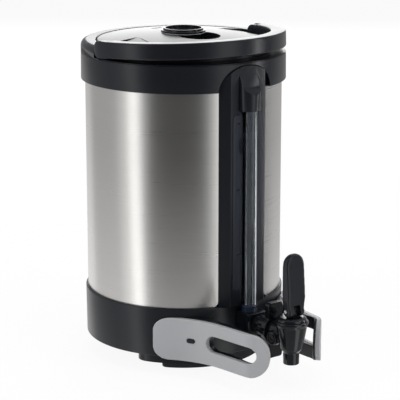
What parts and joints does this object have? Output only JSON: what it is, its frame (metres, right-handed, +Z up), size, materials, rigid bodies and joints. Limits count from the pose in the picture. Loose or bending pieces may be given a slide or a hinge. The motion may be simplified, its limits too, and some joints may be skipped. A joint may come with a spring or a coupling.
{
  "type": "thermal coffee server",
  "caption": "Tall insulated coffee server with a sight gauge, a lever tap between guard arms, a lift-off lid with a filling ring and a bail handle.",
  "frame": {"origin": "on the body's axis at the level that the feet stand on", "axes": "+Z up along the body's axis, -Y forward through the tap, +X to the right seen from the front"},
  "size_m": [0.2366, 0.3342, 0.3806],
  "materials": {
    "brushed_steel": "horizontally brushed",
    "flask_steel": "drawn sheet",
    "fastener": "bright",
    "black_plastic": "satin moulded, black with a cool tint",
    "gloss_black": "glossy moulded, black",
    "panel_grey": "satin, dark grey",
    "grey_satin": "satin warm grey",
    "rubber": "matt",
    "silicone": "matt, translucent white",
    "grommet_blue": "translucent, bluish",
    "clear_tube": "clear and polished",
    "white_plastic": "smooth",
    "foam": "foam"
  },
  "bodies": {
    "server": {"front_foot": "rubber", "rear_foot": "rubber", "base_sill": "black_plastic", "base_screws": "fastener", "base_skirt": "black_plastic", "flask_cushion": "rubber", "steel_shell": "brushed_steel", "insulation_jacket": "foam", "flask_outer": "flask_steel", "flask_liner": "flask_steel", "flask_base": "flask_steel", "outlet_spigot": "flask_steel", "flask_gasket": "silicone", "collar": "black_plastic", "top_ring": "black_plastic", "ring_screws": "fastener", "handle_pins": "fastener", "gauge_housing": "black_plastic", "gauge_panel": "panel_grey", "gauge_disc": "panel_grey", "gauge_tube": "clear_tube", "tube_grommet_low": "grommet_blue", "tube_grommet_top": "grommet_blue", "gauge_block": "gloss_black", "outlet_gasket": "silicone", "shank_tube": "gloss_black", "shank_washer": "rubber", "shank_nut": "gloss_black", "tap_body": "gloss_black", "tap_side_plug": "gloss_black", "tap_bonnet": "gloss_black", "valve_spring": "fastener", "left_guard_frame": "black_plastic", "left_guard_cover": "grey_satin", "left_guard_plug": "black_plastic", "right_guard_frame": "black_plastic", "right_guard_cover": "grey_satin", "right_guard_plug": "black_plastic", "guard_screws": "fastener"},
    "lid": {"lid_cover": "black_plastic", "lid_liner": "black_plastic", "lid_gasket": "silicone"},
    "fill_insert_body": {"fill_insert": "gloss_black", "insert_seal": "silicone"},
    "float": {"float_ball": "white_plastic"},
    "handle": {"carry_handle": "black_plastic"},
    "stem": {"valve_stem": "fastener", "seat_cup": "silicone"},
    "lever": {"tap_lever": "gloss_black", "lever_pin": "fastener"}
  },
  "joints": [
    {"name": "lid_lift", "type": "slide", "parent": "server", "child": "lid", "axis": [0, 0, 1], "range_m": [0, 0.008]},
    {"name": "fill_ring_lift", "type": "slide", "parent": "lid", "child": "fill_insert_body", "axis": [0, 0, 1], "range_m": [0, 0.06]},
    {"name": "float_rise", "type": "slide", "parent": "fill_insert_body", "child": "float", "axis": [0, 0, 1], "range_m": [0, 0.0065]},
    {"name": "handle_swing", "type": "hinge", "parent": "server", "child": "handle", "pos_m": [0, 0, 0.3656], "axis": [-1, 0, 0], "range_deg": [0, 95]},
    {"name": "stem_lift", "type": "slide", "parent": "server", "child": "stem", "axis": [0, 0, 1], "range_m": [0, 0.002], "deforming": ["valve_spring"]},
    {"name": "lever_tip", "type": "hinge", "parent": "stem", "child": "lever", "pos_m": [0, -0.2, 0.0905], "axis": [1, 0, 0], "range_deg": [0, 30], "stiffness_Nm_per_rad": 0.5, "springref_deg": -14.32}
  ],
  "couplings": [
    {"joint": "stem_lift", "follows": "lever_tip", "m_per_rad": 0.003819}
  ]
}
